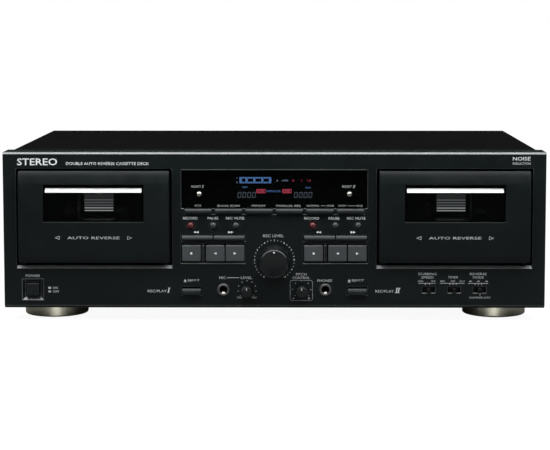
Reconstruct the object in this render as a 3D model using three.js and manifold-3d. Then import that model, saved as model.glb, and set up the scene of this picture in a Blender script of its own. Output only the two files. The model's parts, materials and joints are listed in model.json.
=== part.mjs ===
// Full-width hi-fi double cassette deck with two auto-reverse wells, as an assembly of separate pieces.
//
// Millimetres. +X is to the right seen from the front, +Y runs from the front to the back, +Z is up.
// The origin lies on the surface that the feet stand on, under the middle of the bounding box.
// Most places are given as a depth behind the fascia's front face: at(0) is that face and at(10) is 10 mm
// inside it.

import * as THREE from "three";
import { mergeVertices } from "three/addons/utils/BufferGeometryUtils.js";
import Module from "manifold-3d";

const wasm = await Module();
wasm.setup();

// ---------------------------------------------------------------- driving dimensions

const GAP = 0.3; // clearance between neighbouring pieces
const PAST = 1; // how far a cutter runs past the face that it cuts

const CASE = { width: 435, footHeight: 11, top: 137, front: -120, rear: 130.2 };
const FASCIA = { depth: 26, plate: 3, rim: 2.5, topBevel: 1.5, bottomBevel: 2 };
const SHEET = { pan: 1, cover: 1.2, rear: 1.2 };
const COVER = { halfWidth: 213.5, back: 132, bottom: 12.6, top: 136.7 };

const DECKS = [
  { id: 1, doorX: -144.5, keysX: -49.1 },
  { id: 2, doorX: 144.5, keysX: 49.1 },
];

// The cassette wells: the opening in the fascia, its sloping bottom lip, and the door that fills it.
const WELL = { half: 62.5, bottom: 45.4, top: 123.7, lip: 2.1, tunnel: 10, wall: 2 };
const DOOR = { half: 60.3, bottom: 48.2, top: 122, proud: 6, skin: 3, wall: 2, back: 2 };
const PIVOT = { depth: 4, z: 51, pinR: 1.5, holeR: 1.8 };
const PANE_CUT = { half: 40.2, bottom: 81.4, top: 111.2 };
const PANE = { half: 38.6, bottom: 83.2, top: 108.4, bevel: 3.9 };
const CASSETTE = { half: 50.8, bottom: 54.2, hubZ: 89, hubHalfSpacing: 21.25 };
const HOLDER = { half: 53.4, wall: 2.2, front: -0.9, back: 13.2, lipHalf: 45, top: 117 };
const MECHANISM = { plateFront: 14, plate: 3, half: 61.5, bottom: 44, top: 128 };
const LIGHT_DUCT = { half: 15, bottom: 80.5, top: 106, wall: 1.5, back: 36, diffuser: 2 };

// The display pane and the row of function keys in the notches under it.
const DISPLAY = { half: 74.3, bottom: 92.1, top: 122.2, flange: 2 };
const FUNCTION_KEYS = { count: 6, pitch: 24.4, width: 21.6, bottom: 87.9, top: 91.4, notch: 87.1 };
const RESET_KEYS = { x: 60.3, z: 103.3, r: 2.3, holeR: 2.7 };

// Each deck's block of transport keys, measured from the block's centre line.
const ROUND_KEYS = { pitch: 18.2, z: 78, r: 2.8, holeR: 3.5 };
const WIND_KEYS = { width: 24.7, gap: 0.8, bottom: 66.2, top: 69.9, slot: [65.4, 70.7] };
const PLAY_KEYS = { width: 15.1, bottom: 49, top: 62.2, slot: [47.6, 63.4], half: 25.9 };
const PLAY_KEY_X = { stop_key: -17.55, reverse_play_key: 1.65, play_key: 17.55 };
const DIVIDER = { x: -8.15, width: 1.9 };

// The bottom row of controls.
const ROW_Z = 26;
const POWER = { x: -194.4, half: 5.15, hole: 5.7, bezel: 8.5, bezelInner: 6.6, bezelDepth: 2 };
const EJECT = { x: 66.7, half: 7.5, bottom: 22, top: 26.8, slotHalf: 8.1, slot: [21.4, 28.2] };
const JACK = { x: 41, noseR: 4.75, boreR: 3.2, holeR: 5.05, depth: 27 };
const SMALL_KNOB = { x: 22, r: 4.9, length: 13, shaftR: 2.4, holeR: 3 };
const SWITCHES = { x: [124, 144.5, 165], halfWidth: 2.5, slotHalf: 5.2, slot: [23.7, 28.5] };
const LEVEL_KNOB = { z: 50, baseR: 12.6, faceR: 11.3, length: 22, shaftR: 3, holeR: 3.6 };

const FOOT = { x: 181.5, frontY: -75, rearY: 95, r: 26, chamfer: 0.8, wellR: 8, wellDepth: 4 };

const at = (depth) => CASE.front + depth;
const around = (centre, half) => [centre - half, centre + half];

// ---------------------------------------------------------------- finishes

const finish = (color, roughness, metalness = 0) =>
  new THREE.MeshStandardMaterial({ color, roughness, metalness });

const FINISH = {
  fascia: finish(0x1c2122, 0.55),
  door: finish(0x24292a, 0.5),
  key: finish(0x474b4c, 0.5),
  redKey: finish(0x6a2c2c, 0.35),
  knob: finish(0x171a1b, 0.45),
  blackPlastic: finish(0x0e0f10, 0.6),
  smoked: finish(0x050607, 0.08),
  coverPaint: finish(0x0b0c0d, 0.7, 0.2),
  zincSteel: finish(0x9a9c9a, 0.45, 0.9),
  nickel: finish(0xb8b8b2, 0.25, 1),
  bronze: finish(0x8d8874, 0.35, 0.9),
  board: finish(0x7a5a2c, 0.7),
  core: finish(0x5b5d60, 0.6, 0.6),
};

// ---------------------------------------------------------------- solids

// A closed three.js geometry as a manifold-3d solid. Its corners are rounded to a ten-thousandth of a
// millimetre, so that faces meant to share a plane share it exactly.
function solid(geometry) {
  const bare = geometry.clone();
  bare.deleteAttribute("normal");
  bare.deleteAttribute("uv");
  const merged = mergeVertices(bare, 1e-4);
  const made = new wasm.Manifold(
    new wasm.Mesh({
      numProp: 3,
      vertProperties: merged.attributes.position.array.map((value) => Math.round(value * 1e4) / 1e4),
      triVerts: new Uint32Array(merged.index.array),
    }),
  );
  if (made.volume() <= 0) throw new Error("a solid is inside out");
  return made;
}

// A manifold-3d solid as a three.js geometry.
function geometryOf(manifold) {
  const mesh = manifold.getMesh();
  const geometry = new THREE.BufferGeometry();
  geometry.setAttribute("position", new THREE.BufferAttribute(mesh.vertProperties, mesh.numProp));
  geometry.setIndex(new THREE.BufferAttribute(mesh.triVerts, 1));
  geometry.computeVertexNormals();
  return geometry;
}

const join = (...solids) => solids.flat().reduce((whole, piece) => whole.add(piece));
const cut = (body, ...cutters) => body.subtract(join(...cutters));

// A box between two values on each axis.
function block([x0, x1], [y0, y1], [z0, z1]) {
  const box = new THREE.BoxGeometry(x1 - x0, y1 - y0, z1 - z0);
  return solid(box.translate((x0 + x1) / 2, (y0 + y1) / 2, (z0 + z1) / 2));
}

// A side profile, as [depth, z] points, run along X from x0 to x1.
function prism(points, [x0, x1]) {
  const shape = new THREE.Shape(points.map(([depth, z]) => new THREE.Vector2(at(depth), z)));
  const made = new THREE.ExtrudeGeometry(shape, { depth: x1 - x0, bevelEnabled: false });
  const alongX = new THREE.Matrix4().set(0, 0, 1, x0, 1, 0, 0, 0, 0, 1, 0, 0, 0, 0, 0, 1);
  return solid(made.applyMatrix4(alongX));
}

// A turned piece on an axis along Y through (x, z), from [radius, depth] points that start and end on the
// axis, ordered from the front to the back.
function turned(points, x, z, segments = 24) {
  const profile = points.map(([r, depth]) => new THREE.Vector2(r, at(depth)));
  return solid(new THREE.LatheGeometry(profile, segments).translate(x, 0, z));
}

// A round bar along Y between two depths.
function rod(x, z, r, [d0, d1], segments = 24) {
  return turned([[0, d0], [r, d0], [r, d1], [0, d1]], x, z, segments);
}

// A round bar along X between x0 and x1, at a depth and height.
function crossRod(depth, z, r, [x0, x1], segments = 16) {
  const bar = new THREE.CylinderGeometry(r, r, x1 - x0, segments).rotateZ(Math.PI / 2);
  return solid(bar.translate((x0 + x1) / 2, at(depth), z));
}

// A rectangular plug along Y whose section changes with depth: stations are [depth, halfWidth, z0, z1].
function tapered(x, stations) {
  const corners = stations.flatMap(([depth, half, z0, z1]) => [
    [x - half, at(depth), z0],
    [x + half, at(depth), z0],
    [x + half, at(depth), z1],
    [x - half, at(depth), z1],
  ]);
  const faces = [[0, 1, 2], [0, 2, 3]];
  const last = 4 * (stations.length - 1);
  for (let s = 0; s < last; s += 4) {
    for (let i = 0; i < 4; i++) {
      const j = (i + 1) % 4;
      faces.push([s + j, s + i, s + 4 + i], [s + j, s + 4 + i, s + 4 + j]);
    }
  }
  faces.push([last, last + 2, last + 1], [last, last + 3, last + 2]);
  const geometry = new THREE.BufferGeometry();
  geometry.setAttribute("position", new THREE.Float32BufferAttribute(corners.flat(), 3));
  geometry.setIndex(faces.flat());
  return solid(geometry);
}

const group = new THREE.Group();

function add(name, manifold, material) {
  const mesh = new THREE.Mesh(geometryOf(manifold), material);
  mesh.name = name;
  group.add(mesh);
}

// ---------------------------------------------------------------- fascia

const halfCase = CASE.width / 2;
const functionKeyX = (i) => (i - (FUNCTION_KEYS.count - 1) / 2) * FUNCTION_KEYS.pitch;

// The openings of one deck: its well with the sloping lip, its round keys, wind keys and play keys.
function deckOpenings({ id, doorX, keysX }) {
  const through = [at(-3), at(FASCIA.plate + PAST)];
  const lip = [
    [-PAST, WELL.bottom - WELL.lip - PAST],
    [WELL.lip, WELL.bottom],
    [WELL.lip, WELL.bottom + PAST],
    [-PAST, WELL.bottom + PAST],
  ];
  const windHalf = WIND_KEYS.width + WIND_KEYS.gap / 2 + 0.8;
  return [
    block(around(doorX, WELL.half), [at(-PAST), at(WELL.tunnel + PAST)], [WELL.bottom, WELL.top]),
    prism(lip, around(doorX, WELL.half)),
    ...[-1, 0, 1].map((i) =>
      rod(keysX + i * ROUND_KEYS.pitch, ROUND_KEYS.z, ROUND_KEYS.holeR, [-PAST, FASCIA.plate + PAST], 20),
    ),
    block(around(keysX, windHalf), through, WIND_KEYS.slot),
    block(around(keysX, PLAY_KEYS.half), through, PLAY_KEYS.slot),
    block(around(id === 1 ? -EJECT.x : EJECT.x, EJECT.slotHalf), through, EJECT.slot),
  ];
}

function frontFascia() {
  const bottom = CASE.footHeight;
  const outline = [
    [FASCIA.bottomBevel, bottom],
    [0, bottom + FASCIA.bottomBevel],
    [0, CASE.top - FASCIA.topBevel],
    [FASCIA.topBevel, CASE.top],
    [FASCIA.depth, CASE.top],
    [FASCIA.depth, bottom],
  ];
  const inside = block(
    around(0, halfCase - FASCIA.rim),
    [at(FASCIA.plate), at(FASCIA.depth + PAST)],
    [bottom + FASCIA.rim, CASE.top - FASCIA.rim],
  );
  const tunnels = DECKS.map(({ doorX }) =>
    block(
      around(doorX, WELL.half + WELL.wall),
      [at(1), at(WELL.tunnel)],
      [WELL.bottom - WELL.lip - WELL.wall, WELL.top + WELL.wall],
    ),
  );
  const openings = DECKS.flatMap(deckOpenings);
  const through = [at(-PAST), at(FASCIA.plate + PAST)];
  openings.push(block(around(0, DISPLAY.half + GAP), through, [DISPLAY.bottom - GAP, DISPLAY.top + GAP]));
  for (let i = 0; i < FUNCTION_KEYS.count; i++) {
    const half = FUNCTION_KEYS.width / 2 + 0.5;
    openings.push(block(around(functionKeyX(i), half), through, [FUNCTION_KEYS.notch, DISPLAY.bottom]));
  }
  const { bezel, bezelInner, bezelDepth } = POWER;
  const bezelRise = (bezel - bezelInner) * (PAST / bezelDepth);
  openings.push(
    tapered(POWER.x, [
      [-PAST, bezel + bezelRise, ROW_Z - bezel - bezelRise, ROW_Z + bezel + bezelRise],
      [bezelDepth, bezelInner, ROW_Z - bezelInner, ROW_Z + bezelInner],
    ]),
    block(around(POWER.x, POWER.hole), through, around(ROW_Z, POWER.hole)),
    rod(0, LEVEL_KNOB.z, LEVEL_KNOB.holeR, [-PAST, FASCIA.plate + PAST], 20),
  );
  for (const side of [-1, 1]) {
    const holeDepths = [-PAST, FASCIA.plate + PAST];
    openings.push(rod(side * JACK.x, ROW_Z, JACK.holeR, holeDepths));
    openings.push(rod(side * SMALL_KNOB.x, ROW_Z, SMALL_KNOB.holeR, holeDepths, 16));
  }
  for (const x of SWITCHES.x) openings.push(block(around(x, SWITCHES.slotHalf), through, SWITCHES.slot));

  // The fixed bar between the stop key and the play keys bridges the opening behind the keys' faces.
  const dividers = DECKS.flatMap(({ keysX }) => {
    const x = around(keysX + DIVIDER.x, DIVIDER.width / 2);
    return [
      block(x, [at(-1.2), at(2)], [PLAY_KEYS.bottom, PLAY_KEYS.top]),
      block(x, [at(1.5), at(FASCIA.plate)], [PLAY_KEYS.slot[0] - 0.5, PLAY_KEYS.slot[1] + 0.5]),
    ];
  });
  const shell = join(cut(prism(outline, around(0, halfCase)), inside), tunnels);
  return join(cut(shell, openings), dividers);
}

// The smoked pane over the display: a front face that fills the opening and a flange behind the fascia.
function displayWindow() {
  const flangeTop = DISPLAY.top + DISPLAY.flange;
  const face = block(around(0, DISPLAY.half), [at(0.5), at(4)], [DISPLAY.bottom, DISPLAY.top]);
  const flange = block(
    around(0, DISPLAY.half + DISPLAY.flange),
    [at(FASCIA.plate + GAP), at(4.8)],
    [DISPLAY.bottom, flangeTop],
  );
  const holes = [-1, 1].map((side) => rod(side * RESET_KEYS.x, RESET_KEYS.z, RESET_KEYS.holeR, [0, 6], 20));
  return cut(join(face, flange), holes);
}

add("front_fascia", frontFascia(), FINISH.fascia);
add("display_window", displayWindow(), FINISH.smoked);

// ---------------------------------------------------------------- case

const panHalf = COVER.halfWidth - SHEET.cover - 0.8;
const panBottom = CASE.footHeight + GAP;
const fasciaBack = at(FASCIA.depth);

function chassisPan() {
  const wallTop = panBottom + 26;
  const y = [fasciaBack + GAP, CASE.rear - SHEET.rear - GAP];
  const outside = block(around(0, panHalf), y, [panBottom, wallTop]);
  const inside = block(
    around(0, panHalf - SHEET.pan),
    [y[0] - PAST, y[1] + PAST],
    [panBottom + SHEET.pan, wallTop + PAST],
  );
  const slots = [];
  for (let i = 0; i < 8; i++) {
    const x = around(-187 + i * 9, 1.6);
    slots.push(block(x, [-20, 20], [panBottom - PAST, panBottom + 2 * PAST]));
  }
  return cut(outside, inside, slots);
}

function topCover() {
  const y = [fasciaBack + 0.4, COVER.back];
  const outside = block(around(0, COVER.halfWidth), y, [COVER.bottom, COVER.top]);
  const inside = block(
    around(0, COVER.halfWidth - SHEET.cover),
    [y[0] - PAST, y[1] + PAST],
    [COVER.bottom - PAST, COVER.top - SHEET.cover],
  );
  const slots = [-1, 1].flatMap((side) =>
    Array.from({ length: 7 }, (_, i) => {
      const x = around(side * COVER.halfWidth, 3);
      return block(x, around(60, 18), around(58 + i * 8, 1.5));
    }),
  );
  return cut(outside, inside, slots);
}

const RCA = { x: 128, z: 74, half: 17.5, tall: 20, barrelR: 4.15, boreR: 1.6, dx: 8, dz: 8.5, tip: 142 };
const INLET = { x: -176, z: 40, half: 12, tall: 7.7, flange: 2, socketR: 4.4, socketDx: 3.4, pinDx: 4.3 };

function rearPanel() {
  const y = [CASE.rear - SHEET.rear, CASE.rear];
  const through = [y[0] - PAST, y[1] + PAST];
  const heights = [panBottom + SHEET.pan + GAP, COVER.top - SHEET.cover - GAP];
  const sheet = block(around(0, panHalf - 0.5), y, heights);
  return cut(
    sheet,
    block(around(RCA.x, RCA.half + GAP), through, around(RCA.z, RCA.tall + GAP)),
    block(around(INLET.x, INLET.half + GAP), through, around(INLET.z, INLET.tall + GAP)),
  );
}

// The line jacks: a moulded plate with four barrels, in pairs for input and output.
function lineJacks() {
  const toDepth = (y) => y - CASE.front;
  const face = block(around(RCA.x, RCA.half), [126, 131], around(RCA.z, RCA.tall));
  const rearFace = CASE.rear - SHEET.rear - GAP;
  const flange = block(around(RCA.x, RCA.half + 2), [125, rearFace], around(RCA.z, RCA.tall + 2));
  const barrels = [];
  const bores = [];
  for (const dx of [-RCA.dx, RCA.dx]) {
    for (const dz of [-RCA.dz, RCA.dz]) {
      barrels.push(rod(RCA.x + dx, RCA.z + dz, RCA.barrelR, [toDepth(130), toDepth(RCA.tip)], 16));
      bores.push(rod(RCA.x + dx, RCA.z + dz, RCA.boreR, [toDepth(132), toDepth(RCA.tip) + PAST], 12));
    }
  }
  return cut(join(face, flange, barrels), bores);
}

// A two-pin figure-eight mains socket.
function mainsInlet() {
  const toDepth = (y) => y - CASE.front;
  const body = block(around(INLET.x, INLET.half), [112, 131], around(INLET.z, INLET.tall));
  const flange = block(
    around(INLET.x, INLET.half + INLET.flange),
    [CASE.rear + GAP, CASE.rear + 2],
    around(INLET.z, INLET.tall + INLET.flange),
  );
  const depths = [toDepth(118.5), toDepth(134)];
  const socket = [
    rod(INLET.x - INLET.socketDx, INLET.z, INLET.socketR, depths, 20),
    rod(INLET.x + INLET.socketDx, INLET.z, INLET.socketR, depths, 20),
    block(around(INLET.x, INLET.socketDx), [118.5, 134], around(INLET.z, INLET.socketR)),
  ];
  const pins = [-1, 1].map((side) =>
    rod(INLET.x + side * INLET.pinDx, INLET.z, 1.2, [toDepth(117), toDepth(128.5)], 12),
  );
  return join(cut(join(body, flange), socket), pins);
}

// A round foot with a chamfered edge and a central screw well.
function foot(x, y) {
  const { r, chamfer, wellR, wellDepth } = FOOT;
  const profile = [
    [0, wellDepth],
    [wellR, wellDepth],
    [wellR, 0],
    [r - chamfer, 0],
    [r, chamfer],
    [r, CASE.footHeight],
    [0, CASE.footHeight],
  ].map(([radius, z]) => new THREE.Vector2(radius, z));
  return solid(new THREE.LatheGeometry(profile, 32).rotateX(Math.PI / 2).translate(x, y, 0));
}

// A frame transformer: laminated core, bobbin and two fixing feet.
function powerTransformer() {
  const floor = panBottom + SHEET.pan + GAP;
  const x = around(-172, 29);
  return join(
    block(x, around(62, 16), [floor, floor + 48]),
    block(around(-172, 18), around(62, 26), [floor + 9, floor + 39]),
    block(around(-172, 38), around(62, 8), [floor, floor + 1.5]),
  );
}

// The main circuit board on four posts, with its largest components.
function mainBoard() {
  const floor = panBottom + SHEET.pan + GAP;
  const top = floor + 9.6;
  const board = block([-60, 205], [-55, 118], [floor + 8, top]);
  const posts = [[-50, -45], [195, -45], [-50, 108], [195, 108]].map(([x, y]) =>
    block(around(x, 3), around(y, 3), [floor, floor + 8.5]),
  );
  const parts = [
    block(around(-30, 8), around(60, 8), [top - 0.5, top + 22]),
    block(around(-8, 8), around(60, 8), [top - 0.5, top + 22]),
    block(around(20, 15), around(90, 3), [top - 0.5, top + 24]),
    block(around(70, 18), around(20, 7), [top - 0.5, top + 4]),
    block(around(130, 18), around(20, 7), [top - 0.5, top + 4]),
  ];
  return join(board, posts, parts);
}

add("chassis_pan", chassisPan(), FINISH.zincSteel);
add("top_cover", topCover(), FINISH.coverPaint);
add("rear_panel", rearPanel(), FINISH.coverPaint);
add("line_jacks", lineJacks(), FINISH.blackPlastic);
add("mains_inlet", mainsInlet(), FINISH.blackPlastic);
add("power_transformer", powerTransformer(), FINISH.core);
add("main_board", mainBoard(), FINISH.board);
for (const [end, y] of [["front", FOOT.frontY], ["rear", FOOT.rearY]]) {
  for (const [side, x] of [["left", -FOOT.x], ["right", FOOT.x]]) {
    add(`foot_${end}_${side}`, foot(x, y), FINISH.bronze);
  }
}

// ---------------------------------------------------------------- cassette decks

const reelX = (deck, side) => deck.doorX + side * CASSETTE.hubHalfSpacing;

// The mechanism's frame: a plate behind the cassette with the lamp duct, the cheeks that carry the door's
// pivot pins, the head bridge, the two capstans, and the drive housing behind.
function mechanismFrame(deck) {
  const { doorX } = deck;
  const { plateFront, plate, half, bottom, top } = MECHANISM;
  const plateBack = plateFront + plate;
  const duct = LIGHT_DUCT;
  const base = block(around(doorX, half), [at(plateFront), at(plateBack)], [bottom, top]);
  const ductOuter = block(
    around(doorX, duct.half + duct.wall),
    [at(plateFront), at(duct.back)],
    [duct.bottom - duct.wall, duct.top + duct.wall],
  );
  const ductInner = block(
    around(doorX, duct.half),
    [at(plateFront - PAST), at(duct.back - duct.diffuser)],
    [duct.bottom, duct.top],
  );
  const cheekInner = HOLDER.half + 1.9;
  const cheeks = [-1, 1].map((side) => {
    const x = side > 0 ? [cheekInner, cheekInner + 2.3] : [-cheekInner - 2.3, -cheekInner];
    return block([doorX + x[0], doorX + x[1]], [at(1.6), at(plateFront + 1)], [WELL.bottom + 0.6, 55]);
  });
  const pivotHole = crossRod(PIVOT.depth, PIVOT.z, PIVOT.holeR, around(doorX, half));
  const reelHoles = [-1, 1].map((side) =>
    rod(reelX(deck, side), CASSETTE.hubZ, 2.6, [plateFront - PAST, 40], 16),
  );
  const capstans = [-1, 1].map((side) => rod(doorX + side * 32, 63.5, 1.25, [1, plateFront + 1], 10));
  const headBridge = block(around(doorX, 17), [at(3), at(plateFront + 1)], [47.7, 52.5]);
  const drive = block(around(doorX, 48), [at(plateBack - 1), at(50)], [bottom + 4, 76]);
  const body = join(cut(join(base, ductOuter), ductInner), drive, cheeks);
  return join(cut(body, pivotHole, reelHoles), capstans, headBridge);
}

// A hub that turns a tape reel: a splined nose, a flange and a shaft through the plate.
function reelHub(deck, side) {
  const x = reelX(deck, side);
  const z = CASSETTE.hubZ;
  const plateFront = MECHANISM.plateFront;
  const hub = turned(
    [
      [0, 4],
      [2.6, 4],
      [3.7, 5.6],
      [3.7, plateFront - 1.8],
      [6, plateFront - 1.8],
      [6, plateFront - GAP],
      [2.1, plateFront - GAP],
      [2.1, plateFront + 12],
      [0, plateFront + 12],
    ],
    x,
    z,
  );
  const fins = [0, 1, 2].map((i) => {
    const fin = new THREE.BoxGeometry(1.2, 6.5, 2.6).translate(0, at(9), 3.7);
    return solid(fin.rotateY((i * 2 * Math.PI) / 3).translate(x, 0, z));
  });
  return join(hub, fins);
}

// The door's moulded shell: a face that leans back at the top and tucks under at the bottom, a top wall and
// side walls.
function doorPanel({ doorX }) {
  const { bottom, top, proud, skin, half, wall, back } = DOOR;
  const face = [
    [-3.9, bottom],
    [-proud, 55.5],
    [-proud, 96],
    [-5.9, 104],
    [-5.4, 112],
    [-4.4, 118],
    [-2.4, top],
  ];
  const shell = [...face, [back, top], [back, top - wall - 0.4], [-1.2, top - wall - 0.4]];
  shell.push([skin - proud, 114.2], [skin - proud, 55.5], [-0.9, bottom]);
  const side = [...face, [back, top], [back, 52], [0.5, bottom]];
  const window = block(
    around(doorX, PANE_CUT.half),
    [at(-proud - PAST), at(0)],
    [PANE_CUT.bottom, PANE_CUT.top],
  );
  return cut(
    join(
      prism(shell, around(doorX, half)),
      prism(side, [doorX - half, doorX - half + wall]),
      prism(side, [doorX + half - wall, doorX + half]),
    ),
    window,
  );
}

// The smoked window: a block with a sloping top edge that stands in the door's cut-out, and a flange behind
// it.
function doorWindow({ doorX }) {
  const { half, bottom, top, bevel } = PANE;
  const raised = [
    [-2, bottom],
    [-5.2, bottom],
    [-5.2, top - bevel],
    [-3, top],
    [-2, top],
  ];
  const flange = block(around(doorX, 43), [at(-2.7), at(-1.5)], [79.5, 113.3]);
  return join(prism(raised, around(doorX, half)), flange);
}

// The cassette holder inside the door: two side channels and a shelf that leaves the heads' opening free.
// Its pins turn in the mechanism's cheeks.
function cassetteHolder({ doorX }) {
  const { half, wall, front, back, lipHalf, top } = HOLDER;
  const shelf = [CASSETTE.bottom - 2.2, CASSETTE.bottom];
  const y = [at(front), at(back)];
  const pieces = [block(around(doorX, half), [at(front), at(0.6)], shelf)];
  for (const side of [-1, 1]) {
    const span = (a, b) => (side > 0 ? [doorX + a, doorX + b] : [doorX - b, doorX - a]);
    pieces.push(
      block(span(half - wall, half), y, [shelf[0], top]),
      block(span(half - wall, half), [at(1.6), at(6.6)], [48.9, shelf[0] + 1]),
      block(span(lipHalf, half), [at(back - 1.2), at(back)], [shelf[0], top]),
      block(span(38, half), y, shelf),
      crossRod(PIVOT.depth, PIVOT.z, PIVOT.pinR, span(half - 1, half + 4)),
    );
  }
  return join(pieces);
}

for (const deck of DECKS) {
  add(`mechanism_frame_${deck.id}`, mechanismFrame(deck), FINISH.blackPlastic);
  add(`supply_reel_hub_${deck.id}`, reelHub(deck, -1), FINISH.blackPlastic);
  add(`takeup_reel_hub_${deck.id}`, reelHub(deck, 1), FINISH.blackPlastic);
  add(`door_panel_${deck.id}`, doorPanel(deck), FINISH.door);
  add(`door_window_${deck.id}`, doorWindow(deck), FINISH.smoked);
  add(`cassette_holder_${deck.id}`, cassetteHolder(deck), FINISH.blackPlastic);
}

// ---------------------------------------------------------------- keys and knobs

// A key cap with a sloping upper front edge, and a stem behind it.
function barKey(x, width, [z0, z1], front, slope, stemBack) {
  const profile = [
    [front, z0],
    [front, z1 - slope],
    [front + slope * 0.6, z1],
    [6, z1],
    [6, z0],
  ];
  const stem = block(around(x, width / 4), [at(5), at(stemBack)], [z0 + 0.6, z1 - 0.6]);
  return join(prism(profile, around(x, width / 2)), stem);
}

// A square or oblong push key with a chamfered face, and a stem behind it.
function plateKey(x, half, [z0, z1], front, stemBack) {
  const chamfer = 0.5;
  const cap = tapered(x, [
    [front, half - chamfer, z0 + chamfer, z1 - chamfer],
    [front + chamfer, half, z0, z1],
    [7, half, z0, z1],
  ]);
  const middle = (z0 + z1) / 2;
  return join(cap, block(around(x, 2), [at(6), at(stemBack)], around(middle, 2)));
}

// A small round push key with a domed face.
function domeKey(x, z, r, front, back) {
  const dome = [
    [0, front],
    [r * 0.5, front + r * 0.12],
    [r * 0.85, front + r * 0.4],
    [r, front + r * 0.8],
    [r, back],
    [0, back],
  ];
  return turned(dome, x, z, 20);
}

function levelKnob() {
  const { z, baseR, faceR, length, shaftR } = LEVEL_KNOB;
  return turned(
    [
      [0, -length],
      [faceR - 0.8, -length],
      [faceR, 0.8 - length],
      [baseR, -1],
      [shaftR, -1],
      [shaftR, 12],
      [0, 12],
    ],
    0,
    z,
    40,
  );
}

// A slim grooved knob: grooves run along its side.
function smallKnob(x) {
  const { r, length, shaftR } = SMALL_KNOB;
  const body = turned(
    [
      [0, -length],
      [r - 0.9, -length],
      [r - 0.2, 0.7 - length],
      [r, -1],
      [shaftR, -1],
      [shaftR, 8],
      [0, 8],
    ],
    x,
    ROW_Z,
    24,
  );
  const grooves = Array.from({ length: 12 }, (_, i) => {
    const groove = new THREE.BoxGeometry(0.7, length, 0.8).translate(0, at(-length / 2 - 2), r);
    return solid(groove.rotateY(((i + 0.5) * Math.PI) / 6).translate(x, 0, ROW_Z));
  });
  return cut(body, grooves);
}

// A quarter-inch jack socket: a nickel nose through the fascia and a moulded body behind it.
function jackSocket(x) {
  const nose = rod(x, ROW_Z, JACK.noseR, [-1.2, 5]);
  const body = block(around(x, 8), [at(FASCIA.plate + GAP), at(JACK.depth + 3)], around(ROW_Z, 7));
  return cut(join(nose, body), rod(x, ROW_Z, JACK.boreR, [-2, JACK.depth]));
}

// A slide switch's thumb piece: a ridge on a wider foot behind the fascia.
function switchThumb(x) {
  const [z0, z1] = SWITCHES.slot;
  const middle = (z0 + z1) / 2;
  return join(
    tapered(x, [
      [-1.4, 1.1, middle - 1.4, middle + 1.4],
      [1.4, SWITCHES.halfWidth, z0 + 0.5, z1 - 0.5],
      [4, SWITCHES.halfWidth, z0 + 0.5, z1 - 0.5],
    ]),
    block(around(x, 4.2), [at(FASCIA.plate + GAP), at(5.5)], around(middle, 3.2)),
  );
}

add("power_button", plateKey(POWER.x, POWER.half, around(ROW_Z, POWER.half), -0.6, 20), FINISH.knob);
for (let i = 0; i < FUNCTION_KEYS.count; i++) {
  const span = [FUNCTION_KEYS.bottom, FUNCTION_KEYS.top];
  add(`function_key_${i + 1}`, barKey(functionKeyX(i), FUNCTION_KEYS.width, span, -2, 1.9, 9), FINISH.key);
}
for (const deck of DECKS) {
  const { id, keysX } = deck;
  const side = id === 1 ? -1 : 1;
  const resetKey = domeKey(side * RESET_KEYS.x, RESET_KEYS.z, RESET_KEYS.r, -1.4, 9);
  add(`counter_reset_key_${id}`, resetKey, FINISH.knob);
  ["record_key", "pause_key", "record_mute_key"].forEach((name, i) => {
    const x = keysX + (i - 1) * ROUND_KEYS.pitch;
    const look = name === "record_key" ? FINISH.redKey : FINISH.key;
    add(`${name}_${id}`, domeKey(x, ROUND_KEYS.z, ROUND_KEYS.r, -2.4, 9), look);
  });
  ["rewind_key", "forward_key"].forEach((name, i) => {
    const x = keysX + (i - 0.5) * (WIND_KEYS.width + WIND_KEYS.gap);
    const span = [WIND_KEYS.bottom, WIND_KEYS.top];
    add(`${name}_${id}`, barKey(x, WIND_KEYS.width, span, -2, 2.2, 9), FINISH.key);
  });
  for (const [name, offset] of Object.entries(PLAY_KEY_X)) {
    const span = [PLAY_KEYS.bottom, PLAY_KEYS.top];
    add(`${name}_${id}`, plateKey(keysX + offset, PLAY_KEYS.width / 2, span, -1.5, 12), FINISH.key);
  }
  const ejectSpan = [EJECT.bottom, EJECT.top];
  add(`eject_key_${id}`, barKey(side * EJECT.x, 2 * EJECT.half, ejectSpan, -2.4, 1, 12), FINISH.key);
}
add("record_level_knob", levelKnob(), FINISH.knob);
add("mic_level_knob", smallKnob(-SMALL_KNOB.x), FINISH.knob);
add("pitch_knob", smallKnob(SMALL_KNOB.x), FINISH.knob);
add("mic_jack", jackSocket(-JACK.x), FINISH.nickel);
add("phones_jack", jackSocket(JACK.x), FINISH.nickel);
["dubbing_speed_switch", "timer_switch", "reverse_mode_switch"].forEach((name, i) => {
  add(name, switchThumb(SWITCHES.x[i]), FINISH.blackPlastic);
});

export default group;
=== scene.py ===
"""Looks for a full-width double cassette deck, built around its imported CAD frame.

Row frame, metres: +X to the right seen from the front, +Y from the front to the back, +Z up.
Small sizes are written in millimetres and turned into metres by MM. A place on the front is given as
(x, depth, z): depth is measured backwards from the fascia's front face.
"""

import json
import math

import bmesh
import bpy
from mathutils import Matrix, Vector

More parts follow.
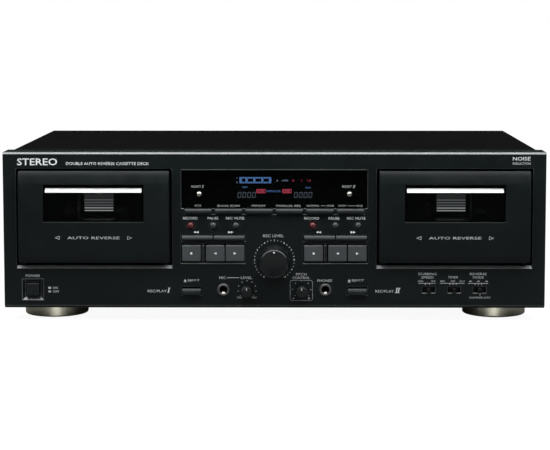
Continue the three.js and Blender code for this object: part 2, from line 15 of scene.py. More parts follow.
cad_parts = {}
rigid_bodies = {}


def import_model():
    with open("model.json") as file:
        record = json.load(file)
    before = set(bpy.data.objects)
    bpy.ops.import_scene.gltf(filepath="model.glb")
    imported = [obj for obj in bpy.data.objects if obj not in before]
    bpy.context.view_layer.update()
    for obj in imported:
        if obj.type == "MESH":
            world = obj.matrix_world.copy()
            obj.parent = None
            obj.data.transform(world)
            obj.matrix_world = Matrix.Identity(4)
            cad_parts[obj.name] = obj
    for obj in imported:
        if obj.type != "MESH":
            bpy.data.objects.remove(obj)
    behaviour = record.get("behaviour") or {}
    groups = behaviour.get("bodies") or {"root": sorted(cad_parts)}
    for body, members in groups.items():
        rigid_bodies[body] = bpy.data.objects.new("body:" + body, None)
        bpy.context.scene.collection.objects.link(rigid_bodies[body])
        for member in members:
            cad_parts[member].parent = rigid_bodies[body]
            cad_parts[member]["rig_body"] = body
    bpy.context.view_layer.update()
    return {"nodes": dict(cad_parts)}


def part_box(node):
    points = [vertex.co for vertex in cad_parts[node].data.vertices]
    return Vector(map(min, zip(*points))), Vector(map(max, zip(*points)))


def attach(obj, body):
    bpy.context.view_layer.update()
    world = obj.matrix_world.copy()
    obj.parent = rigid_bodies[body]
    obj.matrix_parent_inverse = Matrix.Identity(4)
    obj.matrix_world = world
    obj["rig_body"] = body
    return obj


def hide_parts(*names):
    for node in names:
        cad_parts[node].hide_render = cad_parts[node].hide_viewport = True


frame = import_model()

# ---- frame sizes

MM = 0.001
DIVIDER_PROUD = 1.2 * MM  # the fixed strips between the keys are the fascia's foremost faces
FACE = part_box("front_fascia")[0].y + DIVIDER_PROUD
DECKS = (1, 2)
FEET = bpy.data.collections.new("feet")  # what the low light at the front shines on
COVER = bpy.data.collections.new("cover")  # what the front lights leave dark and the side lights shine on
REAR = bpy.data.collections.new("rear")  # what the light behind shines on
FACING_FRONT = Matrix.Rotation(math.radians(90), 4, "X")  # turns a flat shape's +Z towards the viewer
FACING_BACK = Matrix.Rotation(math.pi, 4, "Z") @ FACING_FRONT


def add_object(name, data):
    """A new object in the scene."""
    made = bpy.data.objects.new(name, data)
    bpy.context.scene.collection.objects.link(made)
    return made


def body_of(node):
    return frame["nodes"][node]["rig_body"]


def at(x, depth, z):
    """A point in metres from millimetres: x, depth behind the fascia's front face, height."""
    return Vector((x * MM, FACE + depth * MM, z * MM))


def middle(node):
    """The middle of a CAD node's box: x and z in millimetres."""
    low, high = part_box(node)
    return (low.x + high.x) / 2 / MM, (low.z + high.z) / 2 / MM


def edges_of(node):
    """A CAD node's box in millimetres: x0, x1, z0, z1."""
    low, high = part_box(node)
    return low.x / MM, high.x / MM, low.z / MM, high.z / MM


def depth_of(node):
    """How deep a CAD node's front and back lie behind the fascia's face, in millimetres."""
    low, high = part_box(node)
    return (low.y - FACE) / MM, (high.y - FACE) / MM


# ---- materials

WEAR_RADIUS = 0.5  # how far from an edge the wear reaches, in millimetres
WEAR_TINT = 3.2  # how much lighter worn plastic is


def new_node(tree, kind, **values):
    """A shader node with some settings and inputs, which are values or another node's outputs.

    Underscores in an input's name stand for spaces.
    """
    made = tree.nodes.new(kind)
    for key, value in values.items():
        socket = made.inputs.get(key.replace("_", " "))
        if socket is None:
            setattr(made, key, value)
        elif isinstance(value, bpy.types.NodeSocket):
            tree.links.new(value, socket)
        else:
            socket.default_value = value
    return made


def srgb(red, green, blue):
    """A linear colour from 0 to 255 sRGB values."""

    def linear(value):
        value /= 255
        return value / 12.92 if value <= 0.04045 else ((value + 0.055) / 1.055) ** 2.4

    return (linear(red), linear(green), linear(blue), 1.0)


class Look:
    """A material with one Principled shader, and short calls that feed its sockets."""

    def __init__(self, name, colour, roughness, metallic=0.0, specular=0.5):
        self.material = bpy.data.materials.new(name)
        self.material.use_nodes = True
        self.tree = self.material.node_tree
        self.shader = self.tree.nodes["Principled BSDF"]
        self.coordinates = self.node("ShaderNodeTexCoord").outputs["Object"]
        self.colour = srgb(*colour)
        self.roughness = roughness
        self.set("Base Color", self.colour)
        self.set("Roughness", roughness)
        self.set("Metallic", metallic)
        self.set("Specular IOR Level", specular)

    def node(self, kind, **values):
        return new_node(self.tree, kind, **values)

    def set(self, socket, value):
        self.shader.inputs[socket].default_value = value

    def link(self, output, target):
        self.tree.links.new(output, target)

    def feed(self, socket, output):
        """Leads a node's output into one of the shader's sockets."""
        self.link(output, self.shader.inputs[socket])

    def noise(self, size, detail, stretch=(1, 1, 1)):
        """Noise with features of about size millimetres, longer along an axis where stretch is over 1."""
        scale = [1 / (size * MM * s) for s in stretch]
        place = self.node("ShaderNodeMapping", Vector=self.coordinates, Scale=scale).outputs["Vector"]
        return self.node("ShaderNodeTexNoise", Vector=place, Scale=1.0, Detail=detail).outputs["Fac"]

    def ranged(self, value, low, high, start=0.35, end=0.65):
        """value, from start to end, spread from low to high."""
        limits = {"From_Min": start, "From_Max": end, "To_Min": low, "To_Max": high}
        return self.node("ShaderNodeMapRange", Value=value, **limits).outputs["Result"]

    def varied(self, low, high, size, detail=2.0, stretch=(1, 1, 1)):
        """Noise spread from low to high."""
        return self.ranged(self.noise(size, detail, stretch), low, high)

    def mixed(self, factor, first, second):
        """A colour between first and second; each is a colour or another node's output."""
        mix = self.node("ShaderNodeMix", data_type="RGBA", Factor=factor, A=first, B=second)
        return mix.outputs["Result"]

    def paired(self, kind, operation, first, second):
        """The value of a node that works on two inputs of one name."""
        made = self.node(kind, operation=operation)
        self.link(first, made.inputs[0])
        self.link(second, made.inputs[1])
        return made.outputs["Value"]

    def product(self, first, second):
        return self.paired("ShaderNodeMath", "MULTIPLY", first, second)

    def shade(self, factor, low, high):
        """The look's colour, low to high times as light by factor."""
        self.feed("Base Color", self.mixed(factor, tinted(self.colour, low), tinted(self.colour, high)))

    def sheen(self, below, above, size, detail=2.0, stretch=(1, 1, 1)):
        """Roughness that varies so far below and above the look's own."""
        low, high = self.roughness - below, self.roughness + above
        self.feed("Roughness", self.varied(low, high, size, detail, stretch))

    def edges(self):
        """1 along edges that stand proud or turn sharply, 0 on flat ground."""
        rounded = self.node("ShaderNodeBevel", samples=4, Radius=WEAR_RADIUS * MM).outputs["Normal"]
        flat = self.node("ShaderNodeNewGeometry").outputs["Normal"]
        agreement = self.paired("ShaderNodeVectorMath", "DOT_PRODUCT", rounded, flat)
        return self.ranged(agreement, 1.0, 0.0, start=0.88, end=0.98)

    def bump(self, height, strength, distance):
        """A bump from height, distance millimetres deep."""
        bump = self.node("ShaderNodeBump", Height=height, Strength=strength, Distance=distance * MM)
        self.feed("Normal", bump.outputs["Normal"])


def tinted(colour, factor):
    return tuple(min(1.0, c * factor) for c in colour[:3]) + (1.0,)


def moulded(name, colour, roughness, specular=0.4, grain=0.18, relief=0.012, wear=0.0):
    """Moulded plastic: fine spark-eroded grain, faint handling marks, and edges polished by use."""
    look = Look(name, colour, roughness, specular=specular)
    shade = look.mixed(look.varied(0, 1, 38, 3.0), tinted(look.colour, 0.88), tinted(look.colour, 1.12))
    if wear:
        rubbed = look.product(look.edges(), look.varied(0.0, wear, 5, 3.0))
        shade = look.mixed(rubbed, shade, tinted(look.colour, WEAR_TINT))
    look.feed("Base Color", shade)
    look.sheen(0.06, 0.07, 11, 4.0)
    look.bump(look.noise(grain, 1.0), 0.35, relief)
    return look.material


def metal(name, colour, roughness, brushed=(1, 1, 1)):
    """Metal with a fine lay of brushing (along the axis that brushed stretches) and uneven sheen."""
    look = Look(name, colour, roughness, metallic=1.0)
    lay = look.noise(0.25, 2.0, brushed)
    look.shade(look.varied(0, 1, 9), 0.92, 1.05)
    look.feed("Roughness", look.ranged(lay, roughness - 0.06, roughness + 0.08))
    look.bump(lay, 0.25, 0.004)
    return look.material


def textured_paint(name, colour, roughness):
    """Baked structure paint on sheet steel: small even pimples, dusty sheen."""
    look = Look(name, colour, roughness, specular=0.12)
    look.shade(look.varied(0, 1, 60, 3.0), 0.85, 1.2)
    look.sheen(0.02, 0.03, 24, 3.0)
    look.bump(look.noise(0.9, 3.0), 0.3, 0.04)
    return look.material


def plated_steel(name, colour, roughness):
    """Zinc-plated sheet with spangle and a rolled lay."""
    look = Look(name, colour, roughness, metallic=1.0)
    look.shade(look.varied(0, 1, 6, 1.0), 0.8, 1.1)
    look.sheen(0.08, 0.1, 3)
    look.bump(look.noise(0.4, 2.0, (30, 1, 1)), 0.2, 0.01)
    return look.material


def window(name, colour, clearness, specular):
    """Smoked acrylic: clearness of what is behind shows through, with faint wiping marks."""
    look = Look(name, colour, 0.06, specular=specular)
    look.set("Alpha", 1 - clearness)
    look.sheen(0, 0.07, 2.0, 3.0, (6, 1, 1))
    return look.material


def glowing(name, colour, strength):
    """A lit segment or lamp-lit plastic: an almost black body that gives its own light."""
    look = Look(name, (0, 0, 0), 0.5)
    look.set("Base Color", (0.01, 0.01, 0.012, 1.0))
    look.set("Emission Color", srgb(*colour))
    look.set("Emission Strength", strength)
    look.sheen(0.08, 0.1, 1.2)
    return look.material


def ink(name, colour):
    """Silk-screened ink, slightly uneven."""
    look = Look(name, colour, 0.6, specular=0.2)
    look.shade(look.varied(0, 1, 0.8), 0.86, 1.06)
    return look.material


def circuit_board(name, colour):
    """Phenolic board with darker resin streaks."""
    look = Look(name, colour, 0.6)
    look.shade(look.varied(0, 1, 3, 4.0, (1, 5, 1)), 0.75, 1.15)
    look.sheen(0.1, 0.08, 2)
    return look.material


def laminations(name, colour):
    """Varnished transformer core: stacked sheets seen on edge."""
    look = Look(name, colour, 0.5, metallic=0.7)
    bands = {"wave_type": "BANDS", "bands_direction": "Y"}
    sheets = look.node("ShaderNodeTexWave", Vector=look.coordinates, Scale=260, **bands).outputs["Fac"]
    look.shade(sheets, 0.55, 1.15)
    look.sheen(0.1, 0.1, 4)
    look.bump(sheets, 0.4, 0.05)
    return look.material


LOOKS = {
    "fascia": moulded("fascia_moulding", (19, 25, 26), 0.36, specular=0.22, wear=0.2),
    # fascia_edge: a lighter grey for the fascia's rounded edges and up-and-forward faces, a painted
    # highlight
    "fascia_edge": moulded("fascia_edge_painted_highlight", (68, 72, 73), 0.22, specular=1.0, relief=0.003),
    "door": moulded("door_moulding", (18, 24, 25), 0.4, specular=0.2, wear=0.2),
    # edge: light grey strips that paint the highlights on lit edges
    "edge": moulded("edge_painted_highlight", (74, 77, 79), 0.4, specular=0.3, wear=0.2),
    # lip: a pale grey that paints the lit lower lip of each cassette well
    "lip": moulded("lip_painted_highlight", (150, 153, 155), 0.4, specular=0.3, wear=0.2),
    "key": moulded("key_grey", (72, 77, 79), 0.36, wear=0.3),
    "dark_key": moulded("key_dark_grey", (27, 32, 33), 0.34, specular=0.3, wear=0.2),
    # key_slope: a lighter copy of the dark key grey for the keys' sloping tops, a painted highlight
    "key_slope": moulded("key_slope_painted_highlight", (52, 56, 57), 0.32, specular=0.35),
    "round_key": moulded("round_key_grey", (56, 61, 62), 0.3, wear=0.25),
    "record": moulded("record_key_red", (88, 38, 40), 0.3, wear=0.2),
    "knob": moulded("knob_black", (15, 19, 20), 0.24, specular=0.6, wear=0.15),
    "dark": moulded("inner_black", (8, 9, 10), 0.6, specular=0.06),
    "mechanism": moulded("mechanism_black", (27, 28, 29), 0.45, specular=0.3),
    "reel": moulded("reel_grey", (62, 63, 64), 0.4, specular=0.4, wear=0.2),
    "socket": moulded("socket_black", (22, 23, 24), 0.38, specular=0.4),
    "thumb": moulded("switch_black", (15, 16, 17), 0.4, wear=0.3),
    "cover": textured_paint("cover_paint", (18, 19, 20), 0.42),
    "zinc": plated_steel("zinc_plated_sheet", (170, 172, 168), 0.38),
    "nickel": metal("nickel_plate", (205, 203, 196), 0.22),
    "foot": metal("champagne_foot", (212, 210, 190), 0.34, brushed=(1, 1, 40)),
    # trim: near white, a painted reflection on the door pane's sloping top edge
    "trim": moulded("window_edge_painted_reflection", (250, 251, 250), 0.3, specular=0.5),
    "jack_ring": metal("jack_ring", (128, 129, 127), 0.4),
    "contact": metal("sprung_contact", (232, 228, 216), 0.45),
    "screw": metal("black_screw", (40, 41, 42), 0.34),
    "steel": metal("ground_steel", (190, 190, 188), 0.2, brushed=(1, 30, 1)),
    "rubber": moulded("roller_rubber", (26, 25, 24), 0.75, specular=0.2, grain=0.3, relief=0.03),
    "pane": window("smoked_pane", (4, 5, 5), 0.5, specular=0.2),
    "display_pane": window("display_pane", (4, 5, 6), 0.6, specular=0.12),
    "board": circuit_board("phenolic_board", (132, 98, 52)),
    "core": laminations("laminated_core", (88, 90, 92)),
    "print": ink("legend_ink", (232, 238, 238)),
    "faint_print": ink("legend_ink_faint", (200, 206, 206)),
    "rear_print": ink("legend_ink_rear", (150, 152, 150)),
    "print_bright": ink("legend_ink_bright", (246, 248, 248)),
    "pane_print": ink("pane_ink", (180, 184, 184)),
    "blue": glowing("display_blue", (96, 138, 200), 1.5),
    "pale": glowing("display_pale", (150, 170, 205), 1.6),
    "red": glowing("display_red", (190, 66, 88), 1.6),
    "dim": glowing("display_dim", (112, 124, 136), 1.6),
    # lamp_low, lamp_mid, lamp_high: three strengths of one glow, painted lamp light on the window's ribs,
    # brighter towards the bottom
    "lamp_low": glowing("lamp_window_dim", (150, 156, 158), 0.2),
    "lamp_mid": glowing("lamp_window_rib", (170, 176, 178), 0.8),
    "lamp_high": glowing("lamp_window_bright_rib", (206, 212, 212), 1.5),
    "white_plastic": moulded("white_insulator", (214, 212, 204), 0.4),
    "red_plastic": moulded("red_insulator", (168, 30, 30), 0.4),
}
# ---- making pieces

INK = 0.04  # how thick the ink of a legend lies
RIDGES_FROM = 1  # a turned piece has no ridges nearer to its axis than this


class Shape:
    """A mesh under construction, in the row frame."""

    def __init__(self):
        self.bm = bmesh.new()

    def block(self, x, depth, z, slot=0):
        """A box between two millimetre values on each axis."""
        low, high = at(x[0], depth[0], z[0]), at(x[1], depth[1], z[1])
        size = Matrix.Diagonal((*(high - low), 1))
        made = bmesh.ops.create_cube(self.bm, size=1, matrix=Matrix.Translation((low + high) / 2) @ size)
        for face in {f for vert in made["verts"] for f in vert.link_faces}:
            face.material_index = slot

    def turned(self, profile, place, segments, ridges=0, ridge_depth=0.0):
        """A turned piece about place's +Z from (radius, height) points in millimetres, closed at both ends.

        With ridges, its side rises and falls round the axis by ridge_depth.
        """
        rings = []
        for radius, height in profile:
            ring = []
            for i in range(segments):
                angle = 2 * math.pi * i / segments
                ridge = math.cos(angle * ridges / 2) ** 4 if radius > RIDGES_FROM else 0
                out = radius - ridge_depth * ridge
                point = Vector((out * math.cos(angle), out * math.sin(angle), height)) * MM
                ring.append(self.bm.verts.new(place @ point))
            rings.append(ring)
        for low, high in zip(rings, rings[1:]):
            for i in range(segments):
                j = (i + 1) % segments
                self.bm.faces.new((low[i], low[j], high[j], high[i]))
        self.bm.faces.new(rings[0][::-1])
        self.bm.faces.new(rings[-1])

    def extruded(self, section, x, slots=None):
        """A bar along x from x[0] to x[1] with the section's (depth, height) corners.

        slots gives each side's material, from the side between the first two corners.
        """
        rows = [[self.bm.verts.new(at(end, depth, level)) for depth, level in section] for end in x]
        for i in range(len(section)):
            j = (i + 1) % len(section)
            side = self.bm.faces.new((rows[0][i], rows[0][j], rows[1][j], rows[1][i]))
            side.material_index = slots[i] if slots else 0
        self.bm.faces.new(rows[0][::-1])
        self.bm.faces.new(rows[1])

    def plate(self, points, depth, slot=0, place=None):
        """A flat shape of (x, z) points in millimetres, between two depths.

        With place, they lie in that frame instead: x and y across it, depth back along its -Z.
        """

        def corner(x, z, behind):
            if place is None:
                return self.bm.verts.new(at(x, behind, z))
            return self.bm.verts.new(place @ (Vector((x, z, -behind)) * MM))

        front = [corner(x, z, depth[0]) for x, z in points]
        back = [corner(x, z, depth[1]) for x, z in points]
        faces = [self.bm.faces.new(front), self.bm.faces.new(back[::-1])]
        for i in range(len(points)):
            j = (i + 1) % len(points)
            faces.append(self.bm.faces.new((front[j], front[i], back[i], back[j])))
        for face in faces:
            face.material_index = slot

    def tile(self, x, z, depth, slot=0):
        """A flat rectangle between two x and two z."""
        self.plate([(x[0], z[0]), (x[1], z[0]), (x[1], z[1]), (x[0], z[1])], depth, slot)

    def words(self, text, x, z, height, depth, slot=0, thick=INK, place=None, weight=0.0):
        """Lettering with capitals of that height, standing thick millimetres proud of depth.

        It fills the width x = (x0, x1), or is centred on x at its natural width. With place, it is centred
        on that frame instead.
        """
        curve = bpy.data.curves.new("words", "FONT")
        curve.body = text
        curve.extrude = thick / 2 * MM
        curve.resolution_u = 2
        curve.offset = weight
        made = add_object("words", curve)
        graph = bpy.context.evaluated_depsgraph_get()
        mesh = bpy.data.meshes.new_from_object(made.evaluated_get(graph))
        bpy.data.objects.remove(made)
        xs = [v.co.x for v in mesh.vertices]
        ys = [v.co.y for v in mesh.vertices]
        tall = height * MM / (max(ys) - min(ys))
        wide, centre_x = tall, x
        if isinstance(x, tuple):
            wide = (x[1] - x[0]) * MM / (max(xs) - min(xs))
            centre_x = (x[0] + x[1]) / 2
        centre = Vector(((max(xs) + min(xs)) / 2, (max(ys) + min(ys)) / 2, 0))
        fit = Matrix.Diagonal((wide, tall, 1, 1)) @ Matrix.Translation(-centre)
        spot = at(centre_x, depth - thick / 2, z)
        turn = Matrix.Translation(spot) @ FACING_FRONT if place is None else place
        mesh.transform(turn @ fit)
        before = len(self.bm.faces)
        self.bm.from_mesh(mesh)
        bpy.data.meshes.remove(mesh)
        self.bm.faces.ensure_lookup_table()
        for face in self.bm.faces[before:]:
            face.material_index = slot

    def finish(self, name, looks, slot, body="chassis", stands_for=(), **edges):
        """Turns the shape into a piece that rides on body."""
        bmesh.ops.remove_doubles(self.bm, verts=self.bm.verts, dist=1e-7)
        bmesh.ops.recalc_face_normals(self.bm, faces=self.bm.faces)
        mesh = bpy.data.meshes.new(name)
        self.bm.to_mesh(mesh)
        self.bm.free()
        return dressed(name, mesh, looks, slot, body, stands_for, **edges)


def dressed(name, mesh, looks, slot, body, stands_for, bevel=0.0, sharp=35, segments=2):
    """A piece from a finished mesh, with materials, rounded edges, its body and what it stands for.

    Edges that turn by more than sharp degrees are rounded to bevel millimetres, or stay sharp.
    """
    piece = add_object(name, mesh)
    for look in looks:
        mesh.materials.append(LOOKS[look])
    mesh.shade_smooth()
    if bevel:
        rounding = piece.modifiers.new("rounded_edges", "BEVEL")
        rounding.width = bevel * MM
        rounding.segments = segments
        rounding.limit_method = "ANGLE"
        rounding.angle_limit = math.radians(sharp)
        rounding.use_clamp_overlap = False
        flatness = piece.modifiers.new("flat_faces", "WEIGHTED_NORMAL")
        flatness.weight = 100
    else:
        mesh.set_sharp_from_angle(angle=math.radians(sharp))
    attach(piece, body)
    if stands_for:
        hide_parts(*stands_for)
    return piece


def refined(node, look, slot, highlight_look=None, sharp=28, **edges):
    """A piece with a CAD node's own shape, its flat faces made whole and its edges rounded.

    The rounded edges and the faces that slope up and forwards take the second look, a lighter grey: a
    painted highlight where they catch the light from above.
    """
    bm = bmesh.new()
    bm.from_mesh(frame["nodes"][node].data)
    bmesh.ops.remove_doubles(bm, verts=bm.verts, dist=1e-6)
    bmesh.ops.dissolve_limit(bm, angle_limit=math.radians(0.6), verts=bm.verts, edges=bm.edges)
    bmesh.ops.triangulate(bm, faces=[face for face in bm.faces if len(face.verts) > 4])
    mesh = bpy.data.meshes.new(node)
    bm.to_mesh(mesh)
    bm.free()
    looks = (look, highlight_look) if highlight_look else (look,)
    if highlight_look:
        for face in mesh.polygons:
            if face.normal.y < -0.3 and face.normal.z > 0.3:
                face.material_index = 1
    piece = dressed(f"{node}_fine", mesh, looks, slot, body_of(node), (node,), sharp=sharp, **edges)
    if highlight_look:
        piece.modifiers["rounded_edges"].material = 1
    return piece


def facing_front(x, depth, z):
    """A frame at a point of the front whose +Z looks at the viewer and whose +X is to the right."""
    return Matrix.Translation(at(x, depth, z)) @ FACING_FRONT


# ---- case, fascia, feet

FEET_NAMES = [f"foot_{end}_{side}" for end in ("front", "rear") for side in ("left", "right")]
SIDE_SCREWS = (28, 30)  # from the cover's front edge and from its back edge
SIDE_SCREW_HEIGHT = 30
REAR_SCREWS = ((-200, 118), (0, 118), (200, 118), (-200, 22), (60, 22), (200, 22), (106, 104), (150, 104))
PAN_SCREWS = ((-60, -60), (60, -60), (-172, 40), (-172, 84), (-50, 108), (195, 108), (195, -45), (-50, -45))
FOOT_SCREW_HEIGHT = 3.9


def make_case():
    refined("front_fascia", "fascia", "fascia_plastic", bevel=0.35, highlight_look="fascia_edge")
    COVER.objects.link(refined("top_cover", "cover", "cover_paint", bevel=0.9, segments=3))
    REAR.objects.link(refined("rear_panel", "cover", "cover_paint", bevel=0.25))
    refined("chassis_pan", "zinc", "zinc_steel", bevel=0.4)
    REAR.objects.link(refined("line_jacks", "socket", "black_plastic", bevel=0.3))
    REAR.objects.link(refined("mains_inlet", "socket", "black_plastic", bevel=0.4))
    refined("power_transformer", "core", "transformer_core", bevel=0.6)
    refined("main_board", "board", "circuit_board", bevel=0.2)
    for foot in FEET_NAMES:
        FEET.objects.link(refined(foot, "foot", "foot_metal", bevel=0.4, sharp=35))


def screw_head(shape, place, radius):
    """A pan head with a cross recess, rising along place's +Z."""
    height = radius * 0.62
    shares = ((0.94, 0.0), (1.0, 0.25), (0.92, 0.62), (0.7, 0.88), (0.46, 0.97), (0.36, 0.5), (0.1, 0.3))
    shape.turned([(radius * across, height * up) for across, up in shares], place, segments=20)
    arm = radius * 0.52
    width = radius * 0.11
    for turn in (0, 90):
        at_turn = place @ Matrix.Rotation(math.radians(turn), 4, "Z")
        bar = [(-arm, -width), (arm, -width), (arm, width), (-arm, width)]
        shape.plate(bar, (-height * 0.98, -height * 0.9), place=at_turn)


def make_screws():
    """Cover, rear and bottom screws."""
    shape = Shape()
    low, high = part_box("top_cover")
    for side in (-1, 1):
        turn = Matrix.Rotation(math.radians(90 * side), 4, "Y")
        for y in (low.y + SIDE_SCREWS[0] * MM, high.y - SIDE_SCREWS[1] * MM):
            screw_head(shape, Matrix.Translation((high.x * side, y, SIDE_SCREW_HEIGHT * MM)) @ turn, 3.6)
    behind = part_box("rear_panel")[1].y
    for x, z in REAR_SCREWS:
        screw_head(shape, Matrix.Translation((x * MM, behind, z * MM)) @ FACING_BACK, 2.8)
    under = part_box("chassis_pan")[0].z
    down = Matrix.Rotation(math.pi, 4, "X")
    for x, y in PAN_SCREWS:
        screw_head(shape, Matrix.Translation((x * MM, y * MM, under)) @ down, 2.8)
    for foot in FEET_NAMES:
        low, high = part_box(foot)
        centre = (low + high) / 2
        screw_head(shape, Matrix.Translation((centre.x, centre.y, FOOT_SCREW_HEIGHT * MM)) @ down, 3.4)
    screws = shape.finish("case_screws", ("screw",), "black_screw", sharp=40)
    COVER.objects.link(screws)
    REAR.objects.link(screws)


# ---- printed legends

PANE_ROW = 93.9  # height of the function keys' legends
# Each row: middle height, height of the capitals, then words with their left and right edges.
FACE_PRINT = [
    (127.8, 2.3, ("DOUBLE AUTO REVERSE CASSETTE DECK", -166.7, -100.2)),
    (131.9, 2.9, ("NOISE", 190.5, 204.6)),
    (128.0, 1.8, ("REDUCTION", 190.5, 204.6)),
    (37.2, 2.0, ("POWER", -200.0, -188.6)),
    (27.4, 1.8, ("ON", -178.4, -174.6)),
    (24.4, 1.8, ("OFF", -178.4, -173.4)),
    (24.8, 2.1, ("REC/PLAY", -102.0, -86.6), ("REC/PLAY", 81.3, 96.0)),
    (83.9, 2.1, ("RECORD", -73.2, -61.5), ("PAUSE", -53.6, -44.8), ("REC MUTE", -38.8, -24.2)),
    (83.9, 2.1, ("RECORD", 24.2, 35.9), ("PAUSE", 43.4, 52.2), ("REC MUTE", 58.4, 73.0)),
    (69.7, 2.1, ("REC LEVEL", -9.0, 7.4)),
    (33.4, 2.0, ("EJECT", -69.6, -60.2), ("EJECT", 62.4, 71.8), ("PHONES", 34.6, 46.4)),
    (35.7, 2.0, ("MIC", -44.3, -38.9), ("LEVEL", -27.0, -18.0), ("CONTROL", 14.6, 28.4)),
    (19.6, 1.5, ("MIN", -30.0, -26.4), ("MAX", -18.2, -14.2)),
    (38.5, 2.0, ("PITCH", 17.4, 25.8)),
    (38.9, 1.9, ("DUBBING", 115.9, 130.4), ("REVERSE", 157.2, 170.6)),
    (36.1, 1.9, ("SPEED", 118.2, 128.1), ("MODE", 159.6, 168.2)),
    (36.2, 1.9, ("TIMER", 139.6, 147.8)),
    (33.0, 1.4, ("HIGH", 115.6, 119.6), ("NOR", 126.2, 129.6)),
    (33.0, 1.4, ("REC", 133.6, 137.2), ("OFF", 141.9, 145.3), ("PLAY", 149.0, 153.4)),
    (19.7, 1.4, ("DUB MODE AUTO", 157.0, 173.8)),
]
PANE_PRINT = [
    (109.4, 1.9, ("RESET", -66.3, -58.6), ("RESET", 54.4, 62.1)),
    (PANE_ROW, 1.5, ("RTZ", -63.6, -58.6), ("BLANK SCAN", -45.6, -27.8), ("MEMORY", -18.0, -7.0)),
    (PANE_ROW, 1.5, ("PARALLEL REC", 1.6, 21.4), ("NORMAL", 26.0, 36.2), ("DUB", 42.6, 47.8)),
    (PANE_ROW, 1.5, ("HIGH", 51.4, 57.2), ("DUB", 66.2, 70.8)),
]
PRINT_AT = -0.02  # depth of the ink's back, just proud of the face
INK_LAYER = (PRINT_AT - INK, PRINT_AT)
HAIRLINE = 0.3
SCALE_RADIUS = 15.5  # of the large knob's scale, to the marks' inner ends
SCALE_TURN = 148  # degrees from the top to its first and its last mark
SMALL_SCALE_RADIUS = 6.9
SMALL_SCALE_TURN = 132
MARK_LENGTH = 0.9
SWITCH_LINE = 31.3  # height of the lines over the slide switches
BOLD_HEIGHT = 2.2  # capitals taller than this are printed bold, and so are BOLD_WORDS
BOLD_WORDS = ("RECORD", "PAUSE", "REC MUTE")
BOLD, BRIGHT, FAINT = range(3)


def line(shape, x0, z0, x1, z1, width, depth, slot=0):
    """A straight printed line."""
    along = Vector((x1 - x0, z1 - z0)).normalized() * (width / 2)
    side = Vector((-along.y, along.x))
    start, end = Vector((x0, z0)), Vector((x1, z1))
    shape.plate([start + side, start - side, end - side, end + side], (depth - INK, depth), slot)


def outline(shape, corners, width, depth, slot=0):
    """A closed line through the corners."""
    for start, end in zip(corners, corners[1:] + corners[:1]):
        line(shape, *start, *end, width, depth, slot)


def arrow(shape, x, z, size, way, depth, slot=0):
    """A filled triangle that points left (way -1) or right (way 1)."""
    reach = way * size * 0.55
    corners = [(x - reach, z + size / 2), (x - reach, z - size / 2), (x + reach, z)]
    shape.plate(corners, (depth - INK, depth), slot)


def numeral(shape, count, x, z, height, depth, slot=0):
    """A slanted Roman numeral of count strokes with serifs."""
    lean = height * 0.1
    half = height / 2
    stroke = height * 0.2
    pitch = height * 0.42
    for i in range(count):
        left = x + i * pitch
        foot = [(left - lean, z - half), (left + stroke - lean, z - half)]
        head = [(left + stroke + lean, z + half), (left + lean, z + half)]
        shape.plate(foot + head, (depth - INK, depth), slot)
    serif = height * 0.12
    end = x + (count - 1) * pitch + stroke
    for sign in (-1, 1):
        shift = sign * lean
        level = z + sign * height * 0.46
        line(shape, x - serif + shift, level, end + serif + shift, level, height * 0.1, depth, slot)


def level_scale(shape, x, z, radius, half_turn, steps, number_every=0):
    """Marks round a knob. With number_every = n, every nth mark is left out to make room for a number."""
    for i in range(steps + 1):
        if number_every and i % number_every == 0:
            continue
        angle = math.radians(-half_turn + 2 * half_turn * i / steps)
        out = Vector((math.sin(angle), math.cos(angle)))
        start, end = out * radius, out * (radius + MARK_LENGTH)
        line(shape, x + start.x, z + start.y, x + end.x, z + end.y, HAIRLINE, PRINT_AT)


def rounded_box(x0, x1, z0, z1, radius, steps=4):
    """The corner points of a box with rounded corners, anticlockwise."""
    points = []
    left, right, bottom, top = x0 + radius, x1 - radius, z0 + radius, z1 - radius
    centres = ((right, top), (left, top), (left, bottom), (right, bottom))
    for quarter, (centre_x, centre_z) in enumerate(centres):
        for i in range(steps + 1):
            angle = math.radians(90 * (quarter + i / steps))
            points.append((centre_x + radius * math.cos(angle), centre_z + radius * math.sin(angle)))
    return points


def print_words(shape):
    """All the words on the fascia, the decks' numerals and the signs over the eject and wind keys."""
    for z, height, *row in FACE_PRINT:
        for words, x0, x1 in row:
            bold = words in BOLD_WORDS or height > BOLD_HEIGHT
            slot, weight = (BOLD, 0.006) if bold else (FAINT, 0.0)
            shape.words(words, (x0, x1), z, height, PRINT_AT, slot=slot, weight=weight)
    shape.words("STEREO", (-205.8, -173.6), 129.2, 5.6, PRINT_AT, thick=0.1, weight=0.012)
    numeral(shape, 1, -85.4, 25.5, 4.0, PRINT_AT, BRIGHT)
    numeral(shape, 2, 98.0, 25.5, 4.0, PRINT_AT, BRIGHT)
    for x in (-71.8, 60.2):
        shape.plate([(x - 1.0, 32.9), (x + 1.0, 32.9), (x, 34.5)], INK_LAYER)
        line(shape, x - 1.0, 32.3, x + 1.0, 32.3, 0.35, PRINT_AT)
    for deck in DECKS:
        for key, way, shift in (("rewind_key", -1, -1.0), ("forward_key", 1, 1.4)):
            x = middle(f"{key}_{deck}")[0] + shift
            for step in (-1.05, 1.05):
                arrow(shape, x + step, 72.6, 1.9, way, PRINT_AT, BRIGHT)


